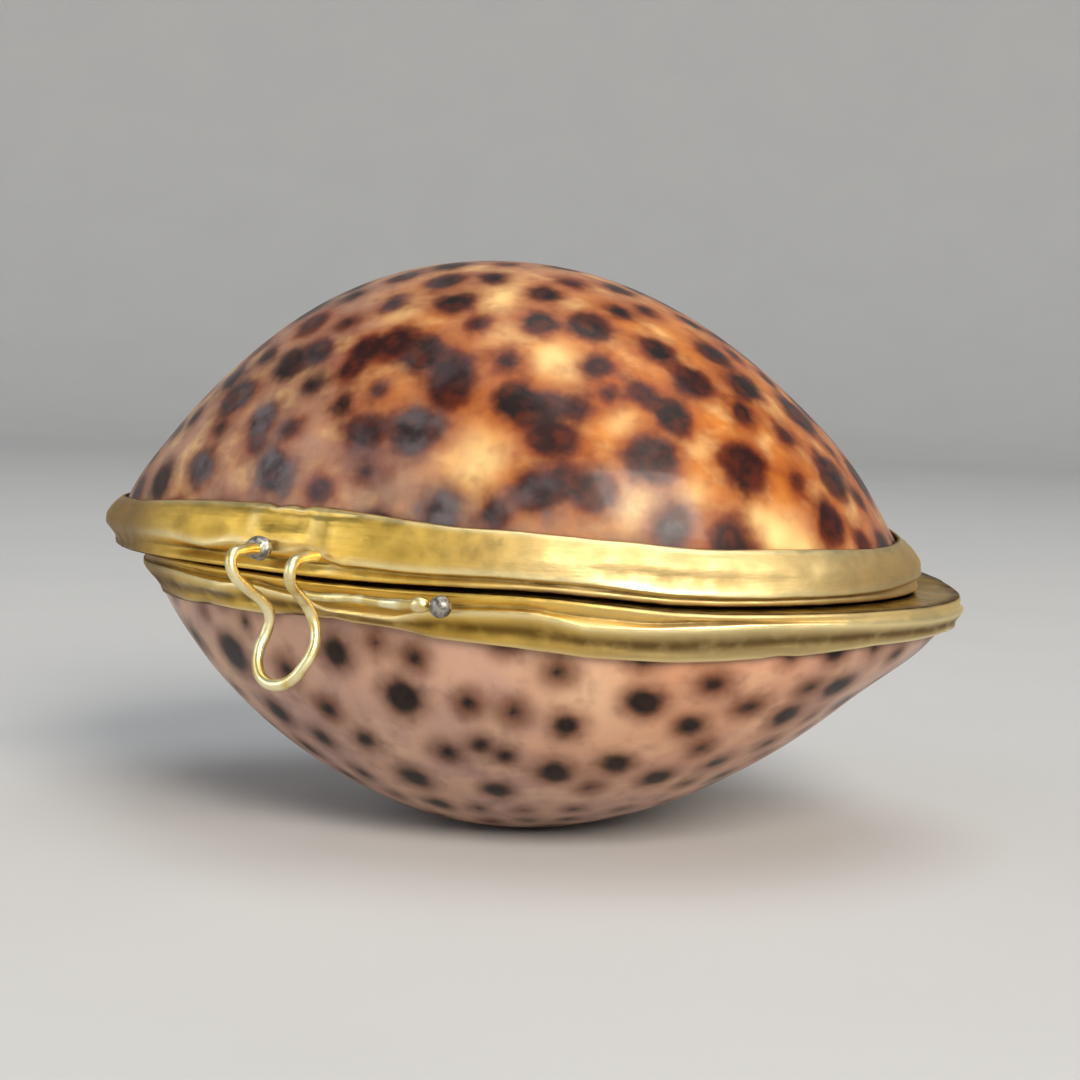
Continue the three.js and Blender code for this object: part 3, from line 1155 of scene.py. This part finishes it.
    def build(self) -> None:
        """Starts from a ring, moves its section to the band's and writes its wear."""
        deselect_all()
        bpy.ops.mesh.primitive_torus_add(
            major_segments=self.around, minor_segments=self.section, major_radius=1, minor_radius=0.25
        )
        obj = bpy.context.object
        unit = coordinates(obj)
        angle = np.arctan2(unit[:, 1], unit[:, 0])
        turn = np.arctan2(unit[:, 2], np.hypot(unit[:, 0], unit[:, 1]) - 1)
        place = np.round(angle / (2 * math.pi) * self.around).astype(int) % self.around
        slot = np.round(turn / (2 * math.pi) * self.section).astype(int) % self.section
        around = np.arange(self.around) / self.around * 2 * math.pi
        keys = self.keys(around)
        section, outer_count = self.section_places(keys)
        out, height = section[slot, place].T
        outer = slot <= outer_count
        at = OUTLINE.beside(angle, out, height)
        along = at[:, 0] + self.half.offset
        front = outer * smoothstep(3, -3, at[:, 1])
        for mark in self.marks:
            out = out + front * mark.out * mark.closeness(along, height)
        beaten = np.zeros(len(at))
        for step, (depth, width) in enumerate(self.hammered, start=2):
            beaten += depth * ripple(at * (1, 1, 2.2), width, self.seed + step)
        folds = ripple(at * (1, 1, 0.4) + 30, 6.5, self.seed + 4)
        beaten += self.fold_depth * np.exp(-((folds / 0.07) ** 2))
        out = out + np.where(outer & (out > 0.5), beaten, 0)
        at = OUTLINE.beside(angle, out, height)
        move_vertices(obj, self.half.placed(at))
        self.write_wear(obj, at, out, height, keys[:, place], outer)
        outward(obj)
        smooth_shaded(obj, 80)
        hand_over(obj, self.name, self.half.body, self.node, "wrought_brass", BRASS)

    def write_wear(
        self,
        obj: Object,
        at: np.ndarray,
        out: np.ndarray,
        height: np.ndarray,
        keys: np.ndarray,
        outer: np.ndarray,
    ) -> None:
        """Marks the band's tarnished hollows, paints shade below its ridge, paints a highlight on its worn
        ridge and top edge, marks its dull ends, which also serve as painted shade at the left end, and
        paints a pale sheen over one stretch.

        Args:
            obj: The rim's mesh.
            at: Its vertices above the seam.
            out: How far out each is.
            height: How high each is.
            keys: The main points at each vertex's place.
            outer: Whether each lies on the outside.
        """
        groove, ridge, top = keys[4, :, 1], keys[7, :, 1], keys[self.outer_keys - 2, :, 1]
        depth = np.clip((self.seam_lip - 0.1 - keys[4, :, 0]) * 2.2, 0, 1)
        in_groove = np.exp(-(((height - groove) / 0.22) ** 2)) * depth
        by_seam = smoothstep(0.36, 0.2, height)
        inside_edge = keys[self.outer_keys - 4, :, 0] - out
        under_top = smoothstep(0.3, 0.5, inside_edge) * (height > self.form.straight)
        brow = (top - ridge) * 0.5
        # painted shade: the band darkens below its ridge, where it faces down
        grown = self.shaded * np.exp(-(((height - ridge - brow) / (0.55 * brow)) ** 2))
        hollow = np.where(outer, np.maximum.reduce([in_groove, by_seam, under_top, grown]), 0.55)
        # the ridge, the top edge and the raised creases get a painted highlight over their wear
        on_ridge = np.exp(-(((height - ridge) / 0.4) ** 2))
        on_edge = 0.95 * np.exp(-(((height - top + 0.1) / 0.22) ** 2))
        raised = outer * np.maximum(on_ridge, on_edge)
        along = at[:, 0] + self.half.offset
        front = outer * smoothstep(3, -3, at[:, 1])
        for mark in self.marks:
            strength = front * mark.closeness(along, height) * min(abs(mark.out) * 3, 1)
            if mark.out > 0:
                raised = np.maximum(raised, strength)
            else:
                hollow = np.maximum(hollow, strength * 0.5)
        # the dull ends, which also paint shade at the band's left end
        low, high = self.dull_and_shaded_ends
        dull_and_shade = smoothstep(low + 5, low - 3, along) + smoothstep(high - 6, high + 5, along) * 0.7
        dull_and_shade = np.maximum(dull_and_shade, np.where(at[:, 1] > 8, 0.35, 0))
        # painted sheen over the given stretch of the front
        painted_sheen = outer * smoothstep(*self.sheen_span, along) * smoothstep(12, 0, at[:, 1])
        for name, values in (("hollow", hollow), ("raised", raised), ("dull_and_shade", dull_and_shade), ("painted_sheen", painted_sheen)):
            write_attribute(obj, name, np.clip(values, 0, 1))


BRASS = WroughtBrass().build()
WIRE_BRASS = DrawnBrass().build()
SOLDER = SoftSolder().build()

UPPER_RIM = Rim(
    name="lid_rim",
    node="upper_rim",
    half=LID,
    form=UPPER_FORM,
    ridges=(
        Ridge(-42, 2.3, 1.9, -0.1), Ridge(-36, 2.2, 1.9, -0.05, 5.15), Ridge(-30, 2.4, 1.9, 0.3, 5.8),
        Ridge(-25, 2.0, 1.95, 0.55, 6.15), Ridge(-21.5, 2.8, 1.8, 0.55, 6.35),
        Ridge(-18, 2.3, 1.85, 0.5, 6.4), Ridge(-13, 2.6, 1.75, 0.5, 6.5),
        Ridge(-10.5, 1.6, 1.8, 0.3, 6.4), Ridge(-5, 1.5, 1.75, 0.3, 5.95), Ridge(0, 1.45, 1.75, 0.3, 5.5),
        Ridge(12, 1.4, 1.8, 0.3, 5.15), Ridge(17, 1.25, 1.9, 0.2, 5.2), Ridge(25, 1.1, 1.95, 0.15, 5.1),
        Ridge(34, 1.2, 1.9, 0.15, 4.85), Ridge(39, 1.8, 1.9, -0.05, 4.85),
    ),
    marks=(
        Mark(-42, 0.6, 6.0, 1.2, -0.9), Mark(-29, 3.6, 2.0, 0.9, -0.12), Mark(-24, 3.4, 2.6, 0.7, -0.25),
        Mark(-27, 1.2, 3.5, 0.6, -0.3), Mark(-19.7, 4.3, 0.3, 1.9, 0.45),
        Mark(-20.4, 3.7, 0.4, 1.0, -0.2), Mark(-17.8, 4.7, 1.0, 0.6, -0.4),
        Mark(-15.2, 4.8, 0.8, 0.6, -0.4), Mark(-16.5, 3.1, 1.6, 0.3, 0.15),
        Mark(-12.9, 4.0, 0.35, 2.1, 0.5), Mark(-12.1, 4.2, 0.35, 1.5, -0.3),
        Mark(-14.1, 2.3, 0.6, 0.45, -0.9), Mark(-20.3, 1.9, 0.6, 0.5, -0.5),
        Mark(-11.2, 1.1, 0.8, 0.4, 0.3), Mark(-12, 5.75, 8.0, 0.15, -0.16),
        Mark(-17.4, 5.6, 0.5, 0.25, -0.3), Mark(-15.2, 5.6, 0.45, 0.25, -0.3),
        Mark(2, 3.6, 5, 0.9, -0.12), Mark(9, 2.6, 3, 0.8, 0.1), Mark(19, 2.6, 9, 0.55, -0.26),
        Mark(19, 1.25, 8, 0.4, 0.22), Mark(29.7, 3.4, 0.25, 1.8, -0.16), Mark(31, 3.3, 1.4, 1.2, 0.1),
    ),
    notches=((-17.4, 0.55, 0.4), (-15.2, 0.5, 0.35)),
    dull_and_shaded_ends=(-34, 32),
    sheen_span=(-6, 14),
    seed=3,
)

LOWER_RIM = Rim(
    name="base_rim",
    node="lower_rim",
    half=BASE,
    form=LOWER_FORM,
    ridges=(
        Ridge(-39, 1.3, 1.8, -0.1, 4.85), Ridge(-30, 1.3, 1.85, 0.1, 4.45),
        Ridge(-24, 1.6, 1.9, 0.35, 4.15), Ridge(-20, 1.5, 1.6, 0.4, 4.15),
        Ridge(-14, 2.1, 1.6, 0.45, 3.7), Ridge(-12, 2.7, 1.75, 0.5, 3.8), Ridge(-5, 2.8, 1.75, 0.5, 3.95),
        Ridge(-2, 1.9, 1.8, 0.35, 4.55), Ridge(8, 1.7, 1.85, 0.3, 5.1), Ridge(11.5, 2.2, 1.9, 0.35, 5.25),
        Ridge(20, 1.5, 1.9, 0.35, 4.8), Ridge(25, 1.1, 1.9, 0.2, 4.4), Ridge(30, 1.2, 1.9, 0.05, 4.1),
        Ridge(35, 1.3, 1.9, -0.1, 3.5), Ridge(40, 1.3, 1.9, -0.15, 3.35),
    ),
    marks=(
        Mark(-40, 4.2, 9.0, 1.5, -0.9), Mark(-29, 2.3, 2.0, 0.45, 0.2), Mark(-25, 2.4, 1.7, 0.45, 0.4),
        Mark(-27.5, 3.6, 2.5, 0.8, -0.4), Mark(-21, 3.2, 1.6, 0.7, -0.5), Mark(-16, 3.7, 3.0, 0.8, -0.45),
        Mark(-11.5, 3.3, 0.7, 0.8, 0.25), Mark(-3.2, 4.3, 1.2, 0.5, -0.2), Mark(6, 3.7, 4, 0.6, -0.14),
        Mark(18, 3.9, 6, 0.6, -0.16), Mark(30, 4.0, 5, 0.7, -0.18),
    ),
    notches=((-11.4, 0.9, 0.2), (27.5, 0.9, 0.15)),
    dull_and_shaded_ends=(-33, 44),
    sheen_span=(2, 24),
    seed=8,
    # painted shade below the ridge
    shaded=0.85,
    face=((0.98, 0.13), (0.66, 0.36), (0.3, 0.58), (0.26, 0.84)),
)


# ---- wires and solder ---------------------------------------------------------------


def wire(
    points: np.ndarray, radius: float, widths: Optional[Sequence[float]] = None, sides: int = 16
) -> Object:
    """A round wire along points, as a closed mesh.

    Args:
        points: An (n, 3) array of places in metres.
        radius: The wire's radius in millimetres.
        widths: For each point, the wire's thickness as a share of the usual one.
        sides: How many sides the wire has.

    Returns:
        The new mesh object.
    """
    deselect_all()
    bpy.ops.curve.primitive_bezier_curve_add()
    obj = bpy.context.object
    curve = obj.data
    spline = curve.splines[0]
    spline.bezier_points.add(len(points) - len(spline.bezier_points))
    for handle, point, width in zip(spline.bezier_points, points, widths or [1.0] * len(points)):
        handle.co = point
        handle.radius = width
        handle.handle_left_type = handle.handle_right_type = "AUTO"
    curve.dimensions = "3D"
    curve.resolution_u = 8
    curve.bevel_depth = radius * MM
    curve.bevel_resolution = sides // 4
    curve.use_fill_caps = True
    bpy.ops.object.convert(target="MESH")
    obj = bpy.context.object
    outward(obj)
    bevel_ends(obj, radius * 0.3)
    smooth_shaded(obj, 45)
    return obj


def bevel_ends(obj: Object, width: float) -> None:
    """Rounds the sharp edges of a mesh a little.

    Args:
        obj: The mesh object.
        width: The bevel's width in millimetres.
    """
    apply_modifier(obj, "BEVEL", width=width * MM, segments=3, limit_method="ANGLE",
                   angle_limit=math.radians(50))


def lump(place: np.ndarray, radius: float, stretch: Sequence[float], rough: float, seed: float) -> Object:
    """A lump of metal that froze as a drop.

    Args:
        place: Its middle in metres.
        radius: Its radius in millimetres.
        stretch: Its size along each axis, as a share of the radius.
        rough: How far its skin strays, in millimetres.
        seed: Shifts the unevenness.

    Returns:
        The new mesh object.
    """
    deselect_all()
    bpy.ops.mesh.primitive_ico_sphere_add(subdivisions=5, radius=1)
    obj = bpy.context.object
    unit = coordinates(obj)
    places = unit * radius * np.asarray(stretch)
    places += unit * (rough * ripple(unit * radius, 0.7, seed))[:, None]
    move_vertices(obj, places * MM + place)
    smooth_shaded(obj, 180)
    return obj


@dataclass
class Clasp:
    """The bent wire loop that hangs from the lid's rim and springs over the catch."""

    angle: float = 254.6
    ridge: float = 1.9
    wire_radius: float = 0.53
    solder: tuple[float, float, float] = (-3.15, 0.85, 2.5)
    solder_radius: float = 1.12
    path: tuple[tuple[float, float, float], ...] = (
        (-2.95, 0.85, 2.4), (-3.05, 3.0, 2.45), (-3.15, 4.9, 1.9), (-2.95, 5.0, 0.6),
        (-2.45, 3.4, -1.0), (-2.0, 1.65, -2.3), (-1.75, 0.95, -3.6), (-2.0, 1.1, -5.0),
        (-2.25, 1.75, -6.4), (-1.95, 2.4, -8.0), (-0.95, 2.8, -9.0), (0.5, 2.9, -9.25),
        (1.9, 2.75, -8.7), (3.05, 2.3, -7.3), (3.55, 1.7, -5.9), (3.35, 1.1, -4.6),
        (2.95, 0.95, -3.4), (2.75, 1.65, -2.1), (2.9, 3.4, -0.8), (3.15, 4.9, 0.5),
        (3.25, 4.8, 1.7), (3.2, 3.0, 2.25), (3.1, 0.85, 2.3),
    )

    def at(self, along: float, out: float, height: float) -> np.ndarray:
        """A place near the clasp: along the rim, out from its ridge and above the seam."""
        angle = np.array([math.radians(self.angle)])
        place = OUTLINE.beside(angle, np.array([self.ridge + out]), np.array([height]))[0]
        _, tangent, _ = OUTLINE.frame(angle)
        place[:2] += tangent[0] * along
        return LID.placed(place)

    def build(self) -> None:
        """Bends the loop and puts the solder on its left end."""
        loop = wire(np.array([self.at(*point) for point in self.path]), self.wire_radius)
        hand_over(loop, "clasp_wire", "lid", "clasp_loop", "brass_wire", WIRE_BRASS)
        blob = lump(self.at(*self.solder), self.solder_radius, (1.1, 0.75, 1.0), 0.22, 4)
        hand_over(blob, "clasp_solder_lump", "lid", "clasp_solder", "solder", SOLDER)


@dataclass
class Catch:
    """The catch on the base's rim: a wire along the band, with a brass bead and a solder ball."""

    start: float = 250.0
    end: float = 265.9
    bead_angle: float = 266.9
    ball_angle: float = 269.7
    ridge: float = 1.9
    clearance: float = 0.3
    wire_radius: float = 0.42
    drop: float = 1.35  # below the seam

    def at(self, angle: float, out: float, drop: float) -> np.ndarray:
        """A place on the base's rim, in metres."""
        turned = np.array([math.radians(angle)])
        return BASE.placed(OUTLINE.beside(turned, np.array([self.ridge + out]), np.array([drop]))[0])

    def build(self) -> None:
        """Makes the wire, the bead and the ball."""
        out = self.clearance + self.wire_radius
        stations = np.linspace(self.start, self.end, 9)
        sag = 0.08 * np.sin(np.linspace(0, 3 * math.pi, 9))
        path = np.array([self.at(a, out, self.drop + s) for a, s in zip(stations, sag)])
        rod = wire(path, self.wire_radius, (1, 0.95, 1, 1, 0.95, 1, 1.1, 1.3, 1.0))
        hand_over(rod, "catch_rod", "base", "catch_wire", "brass_wire", WIRE_BRASS)
        bead = lump(self.at(self.bead_angle, 0.95, self.drop), 0.66, (1.42, 1, 1.1), 0.06, 9)
        hand_over(bead, "catch_brass_bead", "base", "catch_bead", "brass_wire", WIRE_BRASS)
        ball = lump(self.at(self.ball_angle, 1.25, self.drop), 1.02, (1, 0.9, 1), 0.06, 2)
        hand_over(ball, "catch_solder_ball", "base", "catch_solder", "solder", SOLDER)


# ---- the hinge ----------------------------------------------------------------------


@dataclass
class Hinge:
    """A small butt hinge soldered to the backs of both rims, with three knuckles on a pin."""

    centre_along: float = -2.0
    width: float = 16.0
    leaf: float = 0.6
    leaf_height: float = 4.7
    barrel: float = 1.5
    bore: float = 0.8
    pin: float = 0.7
    overhang: float = 0.6
    knuckles: int = 3
    clearance: float = 0.3
    round_edge: float = 0.14

    @property
    def left(self) -> float:
        """Where the hinge starts, along the box in the row frame."""
        return BASE.centre[0] + self.centre_along - self.width / 2

    @property
    def axis(self) -> tuple[float, float]:
        """The pin's axis: its place across the box, and its height."""
        low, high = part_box("hinge_pin")
        return (low[1] + high[1]) / 2 / MM, (low[2] + high[2]) / 2 / MM

    def block(self, low: Sequence[float], high: Sequence[float]) -> Object:
        """A flat plate between two corners, in millimetres."""
        deselect_all()
        middle = [(a + b) / 2 * MM for a, b in zip(low, high)]
        size = [(b - a) * MM for a, b in zip(low, high)]
        bpy.ops.mesh.primitive_cube_add(size=1, location=middle, scale=size)
        obj = bpy.context.object
        bpy.ops.object.transform_apply(location=True, rotation=True, scale=True)
        return obj

    def tube(self, start: float, end: float, inner: float, outer: float) -> Object:
        """A ring about the hinge's axis, spun from its cut face, in millimetres."""
        deselect_all()
        y, z = self.axis
        bpy.ops.mesh.primitive_plane_add(size=1)
        obj = bpy.context.object
        corners = ((start, inner), (end, inner), (end, outer), (start, outer))
        order = sorted(obj.data.vertices, key=lambda v: math.atan2(v.co.y, v.co.x))
        for vertex, (x, radius) in zip(order, corners):
            vertex.co = (x * MM, y * MM, (z + radius) * MM)
        with editing():
            bpy.ops.mesh.delete(type="ONLY_FACE")  # only the outline is spun, so no face is left inside
            bpy.ops.mesh.select_all(action="SELECT")
            bpy.ops.mesh.spin(steps=64, angle=2 * math.pi, center=(0, y * MM, z * MM), axis=(1, 0, 0))
            bpy.ops.mesh.select_all(action="SELECT")
            bpy.ops.mesh.remove_doubles(threshold=0.001 * MM)
        outward(obj)
        return obj

    def joined(self, parts: list[Object]) -> Object:
        """Welds parts into one solid and rounds its edges."""
        whole = parts[0]
        for part in parts[1:]:
            apply_modifier(whole, "BOOLEAN", operation="UNION", object=part, solver="EXACT")
            bpy.data.objects.remove(part)
        outward(whole)
        bevel_ends(whole, self.round_edge)
        smooth_shaded(whole, 40)
        return whole

    def leaf_with(self, places: Sequence[int], up: float) -> Object:
        """One leaf with the knuckles at the listed places.

        Args:
            places: Which thirds of the hinge are this leaf's knuckles.
            up: 1 for the lid's leaf and -1 for the base's.

        Returns:
            The leaf's mesh object.
        """
        y, z = self.axis
        inner = y - self.barrel + 0.35 - self.leaf
        start = self.barrel + self.clearance
        step = self.width / self.knuckles
        levels = sorted((z + up * start, z + up * self.leaf_height))
        right = self.left + self.width
        parts = [self.block((self.left, inner, levels[0]), (right, inner + self.leaf, levels[1]))]
        for place in places:
            first = self.left + place * step + self.clearance / 2
            last = self.left + (place + 1) * step - self.clearance / 2
            tab = sorted((z + up * 0.2, z + up * (start + 0.2)))
            parts.append(self.block((first, inner, tab[0]), (last, inner + self.leaf, tab[1])))
            parts.append(self.tube(first, last, self.bore, self.barrel))
        return self.joined(parts)

    def build(self) -> None:
        """Makes both leaves and the pin with its peened ends."""
        upper = self.leaf_with([1], 1)
        hand_over(upper, "hinge_leaf_lid", "lid", "hinge_leaf_upper", "hinge_brass", BRASS_PLAIN)
        lower = self.leaf_with([0, 2], -1)
        hand_over(lower, "hinge_leaf_base", "base", "hinge_leaf_lower", "hinge_brass", BRASS_PLAIN)
        y, z = self.axis
        deselect_all()
        bpy.ops.mesh.primitive_cylinder_add(
            vertices=48,
            radius=self.pin * MM,
            depth=(self.width + 2 * self.overhang) * MM,
            location=((self.left + self.width / 2) * MM, y * MM, z * MM),
            rotation=(0, math.pi / 2, 0),
        )
        pin = bpy.context.object
        bpy.ops.object.transform_apply(location=True, rotation=True, scale=True)
        bevel_ends(pin, self.pin * 0.45)
        smooth_shaded(pin, 40)
        hand_over(pin, "hinge_rod", "base", "hinge_pin", "brass_wire", WIRE_BRASS)


BRASS_PLAIN = WroughtBrass(name="rolled_brass", fresh="CDAA55", aged="A88A3C").build()


# ---- floor, light and camera --------------------------------------------------------


@dataclass
class Studio:
    """A pale round studio: the floor runs up into a wall on every side, with soft lights."""

    floor_radius: float = 0.9
    cove_radius: float = 0.45
    cove_steps: int = 12
    wall_height: float = 1.1
    floor_colour: str = "CBCCCC"
    heading: float = 15.6  # the camera's angles in degrees
    pitch: float = 4.67
    roll: float = 1.48
    target: tuple[float, float, float] = (1.74, 0.8, 28.26)
    distance: float = 212.3
    lens: float = 70.0

    def floor(self) -> None:
        """Extrudes a disc's edge outwards and up, ring by ring, into a cove and a wall."""
        deselect_all()
        bpy.ops.mesh.primitive_circle_add(vertices=96, radius=self.floor_radius, fill_type="TRIFAN")
        obj = bpy.context.object
        turns = np.radians(90) * np.arange(1, self.cove_steps + 1) / self.cove_steps
        radii = [self.floor_radius, *(self.floor_radius + self.cove_radius * np.sin(turns))]
        heights = [0.0, *(self.cove_radius * (1 - np.cos(turns)))]
        radii.append(radii[-1])
        heights.append(self.wall_height)
        with editing():
            bpy.ops.mesh.region_to_loop()
            for rise, grown in zip(np.diff(heights), np.divide(radii[1:], radii[:-1])):
                bpy.ops.mesh.extrude_region_move(TRANSFORM_OT_translate={"value": (0, 0, rise)})
                bpy.ops.transform.resize(value=(grown, grown, 1), center_override=(0, 0, 0))
        obj.name = "studio_floor"
        smooth_shaded(obj, 60)
        tree = NodeTree("matt_paper")
        tone = tree.blend(tree.grain(40, 2), self.floor_colour, "C5C6C7")
        tree.drive("Base Color", tone)
        tree.fix(Roughness=0.95, Specular_IOR_Level=0.05)
        obj.data.materials.append(tree.material)

    def lamp(self, name: str, place: Sequence[float], size: float, power: float, colour: str) -> None:
        """A square soft light that looks at the box.

        Args:
            name: The light's name.
            place: Where it hangs, in metres.
            size: Its side in metres.
            power: Its power in watts.
            colour: Its colour's hex digits.
        """
        deselect_all()
        bpy.ops.object.light_add(type="AREA", location=place)
        lamp = bpy.context.object
        lamp.name = name
        lamp.data.size = size
        lamp.data.energy = power
        lamp.data.color = linear(colour)[:3]
        aim = Vector((0, 0, SEAM * MM)) - Vector(place)
        lamp.rotation_euler = aim.to_track_quat("-Z", "Y").to_euler()

    def lights(self) -> None:
        """A soft key from the front right, a broad fill from the left and one from above."""
        self.lamp("key", (0.66, -0.82, 0.68), 0.55, 16.0, "FFF4E6")
        self.lamp("fill", (-0.8, -0.6, 0.4), 0.7, 2.2, "EDF3FF")
        self.lamp("top", (0.15, 0.0, 1.05), 0.8, 3.6, "FFFFFF")
        world = bpy.data.worlds.new("studio_air")
        world.use_nodes = True
        background = world.node_tree.nodes["Background"]
        background.inputs["Color"].default_value = linear("C9D3DA")
        background.inputs["Strength"].default_value = 0.36
        bpy.context.scene.world = world

    def camera(self) -> None:
        """Stands the camera a little right of straight ahead and just above the box."""
        heading, pitch, roll = (math.radians(a) for a in (self.heading, self.pitch, self.roll))
        forward = Vector((-math.sin(heading) * math.cos(pitch), math.cos(heading) * math.cos(pitch),
                          -math.sin(pitch)))
        level = forward.cross(Vector((0, 0, 1))).normalized()
        upright = level.cross(forward)
        right = level * math.cos(roll) + upright * math.sin(roll)
        up = upright * math.cos(roll) - level * math.sin(roll)
        deselect_all()
        bpy.ops.object.camera_add()
        camera = bpy.context.object
        turned = Matrix((right, up, -forward)).transposed().to_4x4()
        stand = (Vector(self.target) - forward * self.distance) * MM
        camera.matrix_world = Matrix.Translation(stand) @ turned
        camera.data.lens = self.lens
        camera.data.sensor_width = 36
        camera.data.clip_start = 0.01
        bpy.context.scene.camera = camera

    def build(self) -> None:
        """Sets up the floor, the lights and the camera."""
        self.floor()
        self.lights()
        self.camera()
        bpy.context.scene.view_settings.view_transform = "Standard"


def main() -> None:
    """Builds the studio and every piece."""
    logging.basicConfig(level=logging.INFO, format="%(name)s: %(message)s")
    Studio().build()
    ShellHalf(
        "base_shell", "lower_shell", BASE, LOWER_FORM, BASE_MOTTLE, BASE_ENAMEL, "pale_shell"
    ).build()
    ShellHalf("lid_shell", "upper_shell", LID, UPPER_FORM, LID_MOTTLE, LID_ENAMEL, "dark_shell").build()
    LOWER_RIM.build()
    UPPER_RIM.build()
    Clasp().build()
    Catch().build()
    Hinge().build()


if __name__ == "__main__":
    main()
